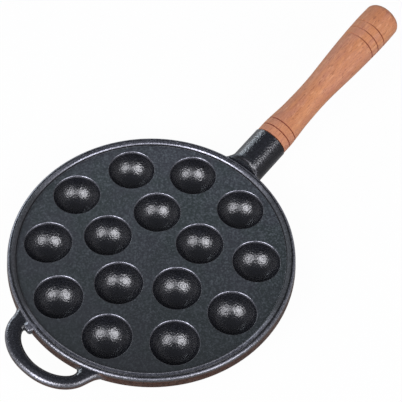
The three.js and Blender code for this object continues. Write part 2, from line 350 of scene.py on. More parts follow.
# Zinc
ZINC_ROUGHNESS = 0.22
ZINC_MOTTLE_ROUGHNESS = 0.2
ZINC_RELIEF_DEPTH = 0.00002

# Floor and sky: the floor looks white and gives back the light of a grey one, and the sky is dark overhead
WHITE = (1, 1, 1, 1)
FLOOR_REACH = 12.0
FLOOR_GREY = (0.45, 0.45, 0.45, 1)
FLOOR_GLOW = 1.03
FLOOR_GLOW_SHARE = 0.94
FLOOR_MIRRORED_SHARE = 0.2
SKY_GREY = (0.10, 0.105, 0.12, 1)
SKY_SPAN = (0.17, 0.32)

# Lamps, all at one distance: name, azimuth and elevation in degrees, width and height, power and tint
LAMP_DISTANCE = 2.6
COOL = (0.94, 0.94, 1)
BLUE = (0.8, 0.9, 1)
LAMPS = [
    ("left_softbox", 178, 38, (2.0, 1.6), 51, COOL),
    ("right_softbox", 265, 33, (2.0, 1.6), 37, COOL),
    ("middle_softbox", 221.5, 44, (1.2, 1.0), 6.4, COOL),
    ("far_softbox", 82, 22, (1.6, 1.3), 21, BLUE),
]

# Camera, which looks at a point level with the plate, with its lens and sensor in millimetres
CAMERA_PLACE = Vector((-0.479846, -0.347077, 0.831325))
CAMERA_AIM = Vector((-0.022712, 0.003804, 0.025))
CAMERA_ROLL = math.radians(3.943)
CAMERA_LENS = 103.568
CAMERA_SENSOR = 36


# Mesh helpers


def arc(centre, radius, start, end, steps):
    """Points on a circle in an outline's plane, angles in degrees."""
    angles = np.radians(np.linspace(start, end, steps + 1))
    return [(centre[0] + radius * math.cos(a), centre[1] + radius * math.sin(a)) for a in angles]


def rod(radius, low, high):
    """Outline of a plain cylinder."""
    return [(0, low), (radius, low), (radius, high), (0, high)]


def turned(outline, segments):
    """Vertices and faces turned about Z from (radius, height) points, the solid on the left of their line."""
    vertices = []
    rows = []
    for radius, height in outline:
        if radius < ON_AXIS:
            rows.append([len(vertices)] * segments)
            vertices.append((0.0, 0.0, height))
            continue
        rows.append([len(vertices) + i for i in range(segments)])
        for i in range(segments):
            angle = 2 * math.pi * i / segments
            vertices.append((radius * math.cos(angle), radius * math.sin(angle), height))
    faces = []
    closed = outline[0][0] > ON_AXIS
    following = rows[1:] + rows[:1] if closed else rows[1:]
    for lower, upper in zip(rows, following):
        for i in range(segments):
            j = (i + 1) % segments
            corners = [lower[i], lower[j], upper[j], upper[i]]
            face = [c for k, c in enumerate(corners) if c not in corners[:k]]
            if len(face) > 2:
                faces.append(face)
    return vertices, faces


def mesh_object(name, vertices, faces, place=None):
    """A mesh object in the row's frame, with its vertices moved by a function if one is given."""
    mesh = bpy.data.meshes.new(name)
    points = [place(Vector(v)) for v in vertices] if place else vertices
    mesh.from_pydata(points, [], [list(map(int, face)) for face in faces])
    mesh.update()
    obj = bpy.data.objects.new(name, mesh)
    bpy.context.scene.collection.objects.link(obj)
    return obj


def lathe(name, outline, segments, place):
    """An object turned from an outline."""
    return mesh_object(name, *turned(outline, segments), place)


def on_pan(point):
    """From the pan's own frame, with its origin in the middle of the plate's top, to the row's frame."""
    return point + PAN_ORIGIN


def on_handle(point):
    """From the handle's frame, with its origin at the socket's mouth and Z along it, to the row's frame."""
    along = SOCKET_LENGTH + point.z
    x = SOCKET_START + along * math.cos(HANDLE_TILT) - point.x * math.sin(HANDLE_TILT)
    z = -SOCKET_AXIS_DROP + along * math.sin(HANDLE_TILT) + point.x * math.cos(HANDLE_TILT)
    return Vector((x, -point.y, z)) + PAN_ORIGIN


def combine(obj, other, operation):
    """Joins another solid to obj, cuts it away or keeps what both share, and removes the other."""
    change = obj.modifiers.new("combine", "BOOLEAN")
    change.object = other
    change.operation = operation
    change.solver = "MANIFOLD"
    bpy.context.view_layer.update()
    graph = bpy.context.evaluated_depsgraph_get()
    made = bpy.data.meshes.new_from_object(obj.evaluated_get(graph))
    obj.modifiers.clear()
    obj.data = made
    bpy.data.objects.remove(other)


# Distance fields, negative inside, for the parts of the casting that flow into each other


def smooth_union(a, b, width):
    """Joins two fields with a fillet about as wide as given."""
    near = np.maximum(width - np.abs(a - b), 0.0) / width
    return np.minimum(a, b) - near**2 * width / 4


def smooth_cut(a, b, width):
    """Where both fields are inside, with a rounded edge."""
    return -smooth_union(-a, -b, width)


def wall_radius(height):
    """Radius of the outer wall, which widens a little downwards, at heights from the plate's top."""
    return RIM_RADIUS + WALL_LEAN * np.clip(WALL_TOP - height, 0, WALL_TOP + SKIRT_DROP)


def wall_field(p):
    """Plate, skirt and wall, drawn in a little from their true surfaces."""
    rho = np.hypot(p[:, 0], p[:, 1])
    height = p[:, 2]
    outside = rho - wall_radius(height) + TAIL
    inner_lean = SKIRT_INNER_DRAFT / (SKIRT_DROP - PLATE_THICKNESS)
    inner = PAN_RADIUS - SKIRT_BOTTOM_WIDTH - inner_lean * (height + SKIRT_DROP)
    inside = (inner + TAIL - rho) / math.hypot(1, inner_lean)
    ring = smooth_cut(outside, TAIL - SKIRT_DROP - height, SKIRT_OUTER_FILLET)
    ring = smooth_cut(ring, inside, SKIRT_INNER_FILLET)
    plate = np.maximum(rho - CREST_FOOT, TAIL - PLATE_THICKNESS - height)
    return np.maximum(np.minimum(ring, plate), height + FIELD_TOP_DEPTH)


def underside(p):
    """The plate and skirt with the cups' outsides grown out of them."""
    field = wall_field(p)
    centre_height = math.sqrt(CUP_RADIUS**2 - CUP_FOOT_RADIUS**2) - PLATE_Z
    for x, y in CUPS:
        cup = np.linalg.norm(p - np.array([x, y, centre_height]), axis=1) - CUP_RADIUS
        field = smooth_union(field, cup, CUP_FILLET)
    return np.maximum(field, p[:, 2] + FIELD_TOP_DEPTH)


def socket_field(p, ramp):
    """The socket with its rounded nose, clear of the ground and cut back by the ramp at its root."""
    axis = np.array([math.cos(HANDLE_TILT), 0, math.sin(HANDLE_TILT)])
    from_start = p - np.array([SOCKET_START, 0, -SOCKET_AXIS_DROP])
    along = from_start @ axis
    across = np.linalg.norm(from_start - along[:, None] * axis, axis=1)
    nose = np.hypot(across, np.minimum(along, 0) * SOCKET_RADIUS / SOCKET_NOSE)
    body = nose - SOCKET_RADIUS
    body = smooth_cut(body, SOCKET_GROUND_CLEARANCE - PLATE_Z - p[:, 2], SOCKET_EDGE_ROUNDING)
    return smooth_cut(body, ramp, SOCKET_RAMP_ROUNDING)


def socket_ramp(height, rho):
    """The steep face that cuts the socket back where the rim starts, negative towards the socket."""
    return (height - RIM_HEIGHT) * math.cos(SOCKET_RAMP) - (rho - RIM_RADIUS) * math.sin(SOCKET_RAMP)


def socket_root(p):
    """The socket grown out of the wall, with a ramp that starts at the rim's outer edge."""
    ramp = socket_ramp(p[:, 2], np.hypot(p[:, 0], p[:, 1]))
    ramp = np.minimum(ramp, p[:, 2] + RIM_HEIGHT)
    side = np.clip(0.5 + p[:, 1] / (2 * SOCKET_RADIUS), 0, 1)
    fillet = SOCKET_RIGHT_FILLET + (SOCKET_LEFT_FILLET - SOCKET_RIGHT_FILLET) * side
    joined = smooth_union(wall_field(p), socket_field(p, ramp), fillet)
    return np.maximum(joined, ramp)


def loop_line():
    """The middle of the loop's bar in plan, from one root round to the other."""
    angles = np.linspace(0, math.pi, LOOP_LINE_STEPS + 1)
    x = -LOOP_CENTRE - LOOP_REACH * np.sin(angles)
    y = LOOP_SHIFT + LOOP_HALF_WIDTH * np.cos(angles)
    root = -LOOP_CENTRE + LOOP_ROOT_LENGTH
    return np.vstack([[root, y[0]], np.stack([x, y], axis=1), [root, y[-1]]])


def distance_to_line(p, line):
    """Least distance in plan from each point to a line of points."""
    least = np.full(len(p), np.inf)
    for start, end in zip(line, line[1:]):
        run = end - start
        share = np.clip(((p - start) @ run) / (run @ run), 0, 1)
        least = np.minimum(least, np.linalg.norm(p - start - share[:, None] * run, axis=1))
    return least


def casting_lump(p):
    """The rough lump that the mould left in the opening's corner, beside the loop's left root."""
    along_x, along_y, along_z = LUMP_WAVES
    sway = LUMP_SWAY * np.sin(p[:, 1] * LUMP_SWAY_WAVE)
    wave = np.sin(p[:, 0] * along_x + sway) * np.sin(p[:, 1] * along_y + p[:, 2] * along_z)
    x, y, z = (p - LUMP_MIDDLE).T
    c = math.cos(LUMP_TURN)
    s = math.sin(LUMP_TURN)
    own = np.stack([c * x + s * y, c * y - s * x, z], axis=1)
    reach = np.abs(own) - LUMP_HALF + LUMP_ROUNDING
    outside = np.linalg.norm(np.maximum(reach, 0), axis=1) + np.minimum(reach.max(axis=1), 0)
    return outside - LUMP_ROUNDING + LUMP_ROUGHNESS * wave


def loop_and_roots(p):
    """The loop's bar, with flat roots that spread into the wall in plan and rounded edges all round."""
    rho = np.hypot(p[:, 0], p[:, 1])
    widening = np.clip(p[:, 1] / LOOP_HALF_WIDTH, 0, 1) * (LOOP_LEFT_BAR_WIDTH - LOOP_BAR_WIDTH)
    bar = distance_to_line(p[:, :2], loop_line()) - (LOOP_BAR_WIDTH + widening) / 2
    side = np.clip(0.5 + p[:, 1] / (2 * LOOP_HALF_WIDTH), 0, 1)
    fillet = LOOP_RIGHT_FILLET + (LOOP_LEFT_FILLET - LOOP_RIGHT_FILLET) * side
    plan = smooth_union(bar, rho - wall_radius(p[:, 2]) + TAIL, fillet)
    middle = LOOP_TOP - LOOP_BAR_HEIGHT / 2
    level = np.abs(p[:, 2] - middle) - LOOP_BAR_HEIGHT / 2
    corner = np.hypot(np.maximum(plan + LOOP_ROUNDING, 0), np.maximum(level + LOOP_ROUNDING, 0))
    slab = corner + np.minimum(np.maximum(plan, level) + LOOP_ROUNDING, 0) - LOOP_ROUNDING
    slab = smooth_union(slab, casting_lump(p), LUMP_ROUNDING)
    return np.maximum(slab, CREST_END + RIM_EDGE / 2 - rho)


def settled(points, field, step):
    """Points moved onto a field's zero surface."""
    small = step / SLOPE_PARTS
    for _ in range(SETTLE_ROUNDS):
        value = field(points)
        slope = [field(points + e) - field(points - e) for e in np.eye(3) * small]
        slope = np.stack(slope, axis=1) / (2 * small)
        steepness = np.maximum((slope**2).sum(axis=1), LEAST_STEEPNESS)
        move = (value / steepness)[:, None] * slope
        reach = np.linalg.norm(move, axis=1, keepdims=True)
        points = points - move * np.minimum(1, step / 2 / np.maximum(reach, LEAST_MOVE))
    return points


def crossings(values, axis):
    """Grid edges along an axis that cross zero: first corners, crossings and which of them start outside."""
    first = [slice(None)] * 3
    second = [slice(None)] * 3
    first[axis] = slice(0, -1)
    second[axis] = slice(1, None)
    near = values[tuple(first)]
    far = values[tuple(second)]
    corners = np.argwhere((near < 0) != (far < 0))
    start = near[tuple(corners.T)]
    end = far[tuple(corners.T)]
    points = corners.astype(float)
    points[:, axis] += start / (start - end)
    return corners, points, start > 0


def cells_around(corners, axis, cells):
    """Numbers of the four cells round each grid edge along an axis, in order round it."""
    around = []
    for turn, other in ((0, 0), (1, 0), (1, 1), (0, 1)):
        cell = corners.copy()
        cell[:, (axis + 1) % 3] -= turn
        cell[:, (axis + 2) % 3] -= other
        around.append(np.ravel_multi_index(tuple(cell.T), cells))
    return np.stack(around, axis=1)


def surface_of(field, low, high, step):
    """Vertices and faces of a field's zero surface, closed at a box, with its vertices drawn onto it."""
    low = np.array(low)
    high = np.array(high)

    def boxed(p):
        return np.maximum(field(p), np.maximum(low - p, p - high).max(axis=1))

    before = GRID_MARGIN * step
    after = (GRID_MARGIN + 1) * step
    axes = [np.arange(a - before, b + after, step) for a, b in zip(low, high)]
    counts = [len(a) for a in axes]
    grid = np.stack(np.meshgrid(*axes, indexing="ij"), axis=-1)
    values = boxed(grid.reshape(-1, 3)).reshape(counts)
    cells = tuple(count - 1 for count in counts)
    total = np.zeros((math.prod(cells), 3))
    hits = np.zeros(math.prod(cells))
    quads = []
    for axis in range(3):
        corners, points, from_outside = crossings(values, axis)
        quad = cells_around(corners, axis, cells)
        for cell in quad.T:
            np.add.at(total, cell, points)
            np.add.at(hits, cell, 1)
        quad[from_outside] = quad[from_outside][:, ::-1]
        quads.append(quad)
    used = np.flatnonzero(hits)
    number = np.zeros(len(hits), dtype=int)
    number[used] = np.arange(len(used))
    middles = total[used] / hits[used, None] * step + np.array([a[0] for a in axes])
    return settled(middles, boxed, step), number[np.concatenate(quads)]


def grown(name, field, low, high, step):
    """An object made from a field in the pan's own frame."""
    return mesh_object(name, *surface_of(field, low, high, step), on_pan)


# Casting


def skirt_outline():
    """Points from the middle of the plate's underside, round the skirt's bottom and up the wall."""
    inner_bottom = PAN_RADIUS - SKIRT_BOTTOM_WIDTH
    arc_height = SKIRT_ROUNDING - SKIRT_DROP
    wall_lean = math.degrees(math.atan(WALL_LEAN))
    inner_lean = math.degrees(math.atan2(SKIRT_INNER_DRAFT, SKIRT_DROP - PLATE_THICKNESS))
    inner_centre = (inner_bottom + SKIRT_ROUNDING, arc_height)
    outer_centre = (PAN_RADIUS - SKIRT_ROUNDING, arc_height)
    points = [(0, -PLATE_THICKNESS), (inner_bottom - SKIRT_INNER_DRAFT, -PLATE_THICKNESS)]
    points += arc(inner_centre, SKIRT_ROUNDING, 180 + inner_lean, 270, SMALL_ARC_STEPS)
    points += arc(outer_centre, SKIRT_ROUNDING, 270, 360 + wall_lean, SKIRT_STEPS)
    points.append((wall_radius(-RIM_EDGE / 2), -RIM_EDGE / 2))
    return points + arc((BEAD_START, WALL_TOP), RIM_EDGE, wall_lean, 90, RIM_EDGE_STEPS)


def rim_outline():
    """Points from the rim's outer bead inwards, over the dip, the worn crest and its foot, to the middle."""
    fall = math.degrees(CREST_FALL)
    face = math.degrees(CREST_FACE)
    fall_top = CREST_HEIGHT - CREST_END_ROUNDING * (1 - math.cos(CREST_FALL))
    fall_start = CREST_END + CREST_END_ROUNDING * math.sin(CREST_FALL)
    dip_end = fall_start + (fall_top - RIM_HEIGHT) / math.tan(CREST_FALL)
    face_top = CREST_HEIGHT - CREST_ROUNDING * (1 - math.cos(CREST_FACE))
    crest_middle = CREST_FOOT + face_top / math.tan(CREST_FACE) + CREST_ROUNDING * math.sin(CREST_FACE)
    end_centre = (CREST_END, CREST_HEIGHT - CREST_END_ROUNDING)
    crest_centre = (crest_middle, CREST_HEIGHT - CREST_ROUNDING)
    foot_centre = (CREST_FOOT - CREST_FOOT_ROUNDING * math.tan(CREST_FACE / 2), CREST_FOOT_ROUNDING)
    points = []
    for i in range(1, DIP_STEPS + 1):
        share = i / DIP_STEPS
        radius = BEAD_START - share * (BEAD_START - dip_end)
        points.append((radius, RIM_HEIGHT - RIM_DIP * math.sin(math.pi * share)))
    points += arc(end_centre, CREST_END_ROUNDING, 90 - fall, 90, CREST_SIDE_STEPS)
    points += arc(crest_centre, CREST_ROUNDING, 90, 90 + face, CREST_STEPS)
    points += arc(foot_centre, CREST_FOOT_ROUNDING, face - 90, -90, CREST_SIDE_STEPS)
    return points + [(0, 0)]


def cavity_outline():
    """Outline of one cavity's hollow, from its bottom up over the rounded lip."""
    reach = CAVITY_RADIUS + LIP_ROUNDING
    lip_centre = math.sqrt(reach**2 - LIP_ROUNDING**2)
    meet = math.degrees(math.asin(LIP_ROUNDING / reach))
    points = arc((0, 0), CAVITY_RADIUS, -90, -meet, CAVITY_STEPS)
    points += arc((lip_centre, -LIP_ROUNDING), LIP_ROUNDING, 180 - meet, 90, LIP_STEPS)[1:]
    return points + [(lip_centre, OVERRUN), (0, OVERRUN)]


def cavities():
    """All the hollows as one object."""
    vertices = []
    faces = []
    points, quads = turned(cavity_outline(), CAVITY_SEGMENTS)
    for x, y in CUPS:
        base = len(vertices)
        vertices += [(px + x, py + y, pz) for px, py, pz in points]
        faces += [[corner + base for corner in quad] for quad in quads]
    return mesh_object("cavities", vertices, faces, on_pan)


def grown_underside():
    """The plate, skirt and cups from below."""
    low = (-PAN_RADIUS, -PAN_RADIUS, -PLATE_Z - OVERRUN)
    return grown("underside", underside, low, (PAN_RADIUS, PAN_RADIUS, 0), UNDERSIDE_STEP)


def grown_socket():
    """The socket and its root, still solid."""
    half = 2 * SOCKET_RADIUS
    low = (SOCKET_START - SOCKET_NOSE - OVERRUN, -half, -PLATE_Z)
    high = (SOCKET_START + SOCKET_LENGTH + OVERRUN, half, half)
    return grown("socket", socket_root, low, high, SOCKET_STEP)


def grown_loop():
    """The helper loop and its roots."""
    half = LOOP_HALF_WIDTH + LOOP_BAR_WIDTH + FILLET_SPREAD * LOOP_RIGHT_FILLET
    low = (-LOOP_CENTRE - LOOP_REACH - LOOP_BAR_WIDTH, -half, -SKIRT_DROP)
    high = (LOOP_BOX_END, half, 2 * RIM_HEIGHT)
    return grown("loop", loop_and_roots, low, high, LOOP_STEP)


def casting():
    """The whole casting as one closed mesh."""
    pan = lathe("cast_pan_fine", skirt_outline() + rim_outline(), PAN_SEGMENTS, on_pan)
    combine(pan, grown_underside(), "UNION")
    combine(pan, grown_socket(), "UNION")
    combine(pan, grown_loop(), "UNION")
    combine(pan, cavities(), "DIFFERENCE")
    wide = SOCKET_RADIUS + OVERRUN
    neck = SOCKET_RADIUS - SOCKET_CHAMFER
    mouth = [(0, 0), (neck, 0), (wide, neck - wide), (wide, 3 * OVERRUN), (0, 3 * OVERRUN)]
    combine(pan, lathe("mouth", mouth, SOCKET_SEGMENTS, on_handle), "DIFFERENCE")
    bore = rod(SOCKET_BORE_RADIUS, -SOCKET_BORE_DEPTH, OVERRUN)
    combine(pan, lathe("bore", bore, SOCKET_SEGMENTS, on_handle), "DIFFERENCE")
    bolt_hole = rod(BOLT_HOLE_RADIUS, -SOCKET_BORE_DEPTH - BOLT_THREAD - SEAT_GAP, OVERRUN)
    combine(pan, lathe("bolt_hole", bolt_hole, BOLT_HOLE_SEGMENTS, on_handle), "DIFFERENCE")
    above_ground = rod(2 * PAN_RADIUS, -PLATE_Z, PLATE_Z)
    combine(pan, lathe("ground", above_ground, GROUND_SEGMENTS, on_pan), "INTERSECT")
    return pan


# Handle, bolt and washer


def handle_radius(place):
    """Radius of the wood at a place along it, on a smooth curve through the outline's points."""
    places = np.array([p for p, _ in HANDLE_OUTLINE])
    radii = np.array([r for _, r in HANDLE_OUTLINE])
    slopes = np.gradient(radii, places)
    i = int(np.clip(np.searchsorted(places, place) - 1, 0, len(places) - 2))
    width = places[i + 1] - places[i]
    t = (place - places[i]) / width
    start = radii[i] * (1 + 2 * t) * (1 - t) ** 2 + slopes[i] * width * t * (1 - t) ** 2
    end = radii[i + 1] * t**2 * (3 - 2 * t) + slopes[i + 1] * width * t**2 * (t - 1)
    return float(start + end)


def groove_depth(place):
    """Depth of the turned grooves at a place along the wood."""
    nearest = min(abs(place - middle) for middle in FRONT_GROOVES + REAR_GROOVES)
    return GROOVE_DEPTH * max(0, 1 - (nearest / (GROOVE_WIDTH / 2)) ** 2)


def wooden_handle():
    """The turned wood: tenon, shoulder, grooved grip, rounded butt and counterbore."""
    straight = HANDLE_LENGTH - HANDLE_ROUNDING
    places = set(np.linspace(SEAT_GAP + HANDLE_SHOULDER, straight, HANDLE_STATIONS))
    for middle in FRONT_GROOVES + REAR_GROOVES:
        places |= set(middle + np.linspace(-GROOVE_SPREAD, GROOVE_SPREAD, GROOVE_STATIONS) * GROOVE_WIDTH)
    grip = [(handle_radius(place) - groove_depth(place), place) for place in sorted(places)]
    tenon_end = SEAT_GAP - SOCKET_BORE_DEPTH
    tenon_radius = SOCKET_BORE_RADIUS - SEAT_GAP
    shoulder_centre = (handle_radius(0) - HANDLE_SHOULDER, SEAT_GAP + HANDLE_SHOULDER)
    shoulder = arc(shoulder_centre, HANDLE_SHOULDER, -90, 0, SMALL_ARC_STEPS)
    butt_centre = (handle_radius(straight) - HANDLE_ROUNDING, straight)
    butt = arc(butt_centre, HANDLE_ROUNDING, 0, 90, BUTT_STEPS)
    floor = HANDLE_LENGTH - COUNTERBORE_DEPTH
    outline = [(BOLT_HOLE_RADIUS, tenon_end), (tenon_radius, tenon_end), (tenon_radius, SEAT_GAP)]
    outline += shoulder[:-1] + grip + butt[1:]
    outline += [(COUNTERBORE_RADIUS + COUNTERBORE_EDGE, HANDLE_LENGTH)]
    outline += [(COUNTERBORE_RADIUS, HANDLE_LENGTH - COUNTERBORE_EDGE)]
    outline += [(COUNTERBORE_RADIUS, floor), (BOLT_HOLE_RADIUS, floor)]
    return lathe("wooden_handle_fine", outline, HANDLE_SEGMENTS, on_handle)


def handle_bolt():
    """The bolt with its chamfered hexagon head."""
    top = HANDLE_LENGTH - BOLT_RECESS
    base = top - BOLT_HEAD_HEIGHT
    corner = BOLT_HEAD_ACROSS / math.sqrt(3)
    bolt = lathe("handle_bolt_fine", rod(corner, base, top), HEXAGON, on_handle)
    wide = corner + OVERRUN
    edge = top - (wide - BOLT_CROWN_RADIUS) * BOLT_CROWN_SLOPE
    below = base - OVERRUN
    crown = [(0, below), (wide, below), (wide, edge), (BOLT_CROWN_RADIUS, top), (0, top)]
    combine(bolt, lathe("crown", crown, HANDLE_SEGMENTS, on_handle), "INTERSECT")
    end = -SOCKET_BORE_DEPTH - BOLT_THREAD + SEAT_GAP
    middle = base + BOLT_HEAD_HEIGHT / 2
    shank = [(0, end), (BOLT_RADIUS - BOLT_EDGE, end), (BOLT_RADIUS, end + BOLT_EDGE)]
    shank += [(BOLT_RADIUS, middle), (0, middle)]
    combine(bolt, lathe("shank", shank, BOLT_SEGMENTS, on_handle), "UNION")
    return bolt


def bolt_washer():
    """The washer, with rounded edges."""
    base = HANDLE_LENGTH - COUNTERBORE_DEPTH + SEAT_GAP
    top = base + WASHER_THICKNESS
    edge_centre = WASHER_RADIUS - WASHER_EDGE
    outline = [(BOLT_HOLE_RADIUS, top), (BOLT_HOLE_RADIUS, base)]
    outline += arc((edge_centre, base + WASHER_EDGE), WASHER_EDGE, -90, 0, SMALL_ARC_STEPS)
    outline += arc((edge_centre, top - WASHER_EDGE), WASHER_EDGE, 0, 90, SMALL_ARC_STEPS)
    return lathe("bolt_washer_fine", outline, WASHER_SEGMENTS, on_handle)


# Shading and marks


def shade(obj, sharp_angle):
    """Smooth shading that keeps sharp edges, with large flat faces ruling their corners' normals."""
    obj.data.shade_smooth()
    work = bmesh.new()
    work.from_mesh(obj.data)
    bmesh.ops.dissolve_degenerate(work, dist=SLIVER, edges=work.edges)
    for edge in work.edges:
        edge.smooth = len(edge.link_faces) == 2 and edge.calc_face_angle(0) < sharp_angle
    work.to_mesh(obj.data)
    work.free()
    weigh = obj.modifiers.new("normals", "WEIGHTED_NORMAL")
    weigh.keep_sharp = True


def mark(obj, name, values):
    """Stores one number for each vertex under a name."""
    attribute = obj.data.attributes.new(name, "FLOAT", "POINT")
    attribute.data.foreach_set("value", values.astype(np.float32))


def vertex_numbers(obj, name):
    """A vertex property of three numbers, as rows."""
    numbers = np.zeros(len(obj.data.vertices) * 3)
    obj.data.vertices.foreach_get(name, numbers)
    return numbers.reshape(-1, 3)


def rise(values, start, full):
    """0 up to a start value and 1 from a full value on, which may lie on either side of the start."""
    return np.clip((values - start) / (full - start), 0, 1)


def peak(values, middle, reach):
    """1 within a third of a reach from a middle value, falling to 0 at the whole reach."""
    return rise(np.abs(values - middle), reach, reach / 3)


def cavity_marks(points):
    """The insides of the cavities, and their lips, bright with wear and painted highlights where they face
    along the highlight direction.
    """
    height = points[:, 2]
    nearest = np.full(len(points), np.inf)
    toward_highlight = np.zeros(len(points))
    for x, y in CUPS:
        away = points[:, :2] - np.array([x, y])
        distance = np.linalg.norm(away, axis=1)
        toward_highlight = np.where(distance < nearest, away @ HIGHLIGHT_DIRECTION / CAVITY_RADIUS, toward_highlight)
        nearest = np.minimum(nearest, distance)
    mouth = CAVITY_RADIUS + LIP_ROUNDING
    low, high = LIP_BAND_HEIGHTS
    lip = peak(nearest, LIP_BAND_MIDDLE, LIP_BAND_REACH) * (height > low) * (height < high)
    return {
        "cavity": rise(nearest, mouth, CAVITY_RADIUS) * (height > -mouth),
        "edge": lip * np.maximum(rise(toward_highlight, *LIP_HIGHLIGHT_SPAN), LIP_LEAST_WEAR),
    }


def plate_marks(points, rho):
    """The plate's matt top and the rusty outer wall."""
    height = points[:, 2]
    near_wall = rise(np.abs(rho - wall_radius(height)), RUST_REACH, 0)
    return {
        "wall": near_wall * rise(height, RUST_TOP, 0),
        "matt": (np.abs(height) < HAIR) * (rho < CREST_FOOT),
    }


def rim_marks(points, upward, rho):
    """The dip, the bead's edge and the crest: painted shade on the crest's steep sides and on its top away
    from one direction, and wear with painted highlights along that direction.
    """
    height = points[:, 2]
    crest_end = CREST_END + HAIR
    towards = np.abs(points[:, :2] @ HIGHLIGHT_DIRECTION) / np.maximum(rho, CAVITY_RADIUS)
    wear_and_highlight = rise(towards, *CREST_HIGHLIGHT_SPAN)
    on_crest = (rho > CREST_FOOT) * (rho < crest_end) * (height > HAIR)
    level = rise(upward, *CREST_LEVEL_SPAN)
    top = level * on_crest
    # Painted shade on the crest's top where it turns away from the highlight direction
    shaded_crest_top = top * (1 - wear_and_highlight)
    # Painted shade on the crest's steep face and on its fall
    face = (1 - level) * on_crest
    fall = (rho > crest_end) * (rho < BEAD_START) * (height > FALL_LEAST_HEIGHT)
    in_dip = (rho > CREST_END) * (rho < RIM_RADIUS - RIM_EDGE / 2) * (height > WALL_TOP)
    dip = in_dip * (upward > DIP_LEAST_UPWARD)
    on_bead = (rho > BEAD_START) * (rho < BEAD_END) * (height > WALL_TOP) * (height < RIM_HEIGHT)
    # Painted highlight: wear on the bead is laid where its slope catches the lamps
    bead = peak(upward, BEAD_SLOPE, BEAD_SLOPE_REACH) * on_bead
    return {
        "edge": np.maximum(top * np.maximum(wear_and_highlight, CREST_LEAST_WEAR), BEAD_WEAR_AND_HIGHLIGHT * bead),
        "shade_and_dark_tone": np.maximum.reduce([face, FALL_DARKNESS * fall, CREST_AWAY_SHADE * shaded_crest_top]),
        "matt": np.maximum(DIP_MATTNESS * dip, shaded_crest_top),
        "dull": on_crest * (1 - wear_and_highlight),
    }


def loop_marks(points, upward, rho):
    """The loop's rust low down on its outside, its darker tone, and wear with painted highlights on its outer
    edge and on the casting lump.
    """
    x, y, height = points.T
    on_loop = rise(rho, PAN_RADIUS, PAN_RADIUS + LOOP_ROUNDING) * (x < 0)
    outside = np.hypot((x + LOOP_CENTRE) / LOOP_REACH, (y - LOOP_SHIFT) / LOOP_HALF_WIDTH) > 1
    rusty = rise(height, LOOP_RUST_TOP, LOOP_RUST_TOP - LOOP_ROUNDING / 2)
    from_highlight = np.abs(y / LOOP_HALF_WIDTH - LOOP_HIGHLIGHT_MIDDLE)
    wear_and_highlight = np.clip(1 - LOOP_HIGHLIGHT_FALL * from_highlight, LOOP_LEAST_WEAR, 1) * (height > LOOP_TOP - LOOP_ROUNDING)
    # Painted highlight: wear on the loop's outer edge is laid where its slope catches the lamps
    outer = wear_and_highlight * on_loop * outside * peak(upward, LOOP_SLOPE, LOOP_SLOPE_REACH)
    from_lump = np.abs(points - LUMP_MIDDLE) / (LUMP_SPREAD * LUMP_HALF)
    on_lump = (from_lump.max(axis=1) < 1) * (height > LOOP_TOP)
    return {
        "wall": on_loop * rusty * outside,
        "edge": np.maximum(outer, LUMP_WEAR_AND_HIGHLIGHT * on_lump),
        "shade_and_dark_tone": LOOP_DARKNESS * on_loop,
    }


def socket_marks(points, rho):
    """Painted shade on the socket's right flank and in the matt ramp at its root."""
    on_socket = rise(rho, RIM_RADIUS, RIM_RADIUS + SKIRT_ROUNDING) * (points[:, 0] > 0)
    sideways = points[:, 1] / SOCKET_RADIUS
    flank = rise(sideways, *SOCKET_FLANK_SPAN) * on_socket
    near_ramp = rise(socket_ramp(points[:, 2], rho), *SOCKET_RAMP_SPAN)
    on_ramp = near_ramp * on_socket * (sideways > SOCKET_RAMP_SIDE)
    return {"shade_and_dark_tone": np.maximum(flank, on_ramp), "matt": on_ramp}


def mark_casting(obj):
    """Marks the casting's finishes, painted shade and painted highlights, with rust ruling out the painted
    shade and darker tone.
    """
    points = vertex_numbers(obj, "co") - np.array(PAN_ORIGIN)
    upward = vertex_numbers(obj, "normal")[:, 2]
    rho = np.hypot(points[:, 0], points[:, 1])
    zones = [cavity_marks(points), plate_marks(points, rho), rim_marks(points, upward, rho)]
    zones += [loop_marks(points, upward, rho), socket_marks(points, rho)]
    marks = {name: np.maximum.reduce([zone[name] for zone in zones if name in zone]) for name in FINISH_MARKS}
    marks["shade_and_dark_tone"] = marks["shade_and_dark_tone"] * (1 - marks["wall"])
    for name, values in marks.items():
        mark(obj, name, values)


def mark_burns_and_joint_shadow(obj):
    """Marks the burns, the front grooves and one side of the rear ones, and the painted shadow at the edge by
    the socket.
    """
    points = vertex_numbers(obj, "co") - np.array(on_handle(Vector((0, 0, 0))))
    along = points @ np.array([math.cos(HANDLE_TILT), 0, math.sin(HANDLE_TILT)])
    depth = np.array([groove_depth(place) if place > SEAT_GAP else 0.0 for place in along]) / GROOVE_DEPTH
    side = np.clip(REAR_BURN_MIDDLE - points[:, 1] / SOCKET_RADIUS, REAR_BURN_LEAST, 1)
    burnt = depth * np.where(along > HANDLE_LENGTH / 2, side, 1)
    # The shoulder by the socket, and the tenon inside it, get painted shadow
    mark(obj, "burn_and_joint_shadow", np.maximum(burnt, rise(along, *SHOULDER_SHADOW_SPAN)))


# Node trees


def wire(tree, node, inputs):
    """Gives a node's inputs plain values or other nodes' outputs."""
    for name, value in inputs.items():
        if isinstance(value, bpy.types.NodeSocket):
            tree.links.new(value, node.inputs[name])
        else:
            node.inputs[name].default_value = value


def add(tree, kind, inputs=None, **settings):
    """A new node with its settings and inputs."""
    made = tree.nodes.new(kind)
    for name, value in settings.items():
        setattr(made, name, value)
    wire(tree, made, inputs or {})
    return made


def colour(red, green, blue):
    """An sRGB colour given in steps of 1/255 as linear light."""
    shares = [step / 255 for step in (red, green, blue)]
    linear = [s / 12.92 if s < 0.04045 else ((s + 0.055) / 1.055) ** 2.4 for s in shares]
    return (*linear, 1.0)


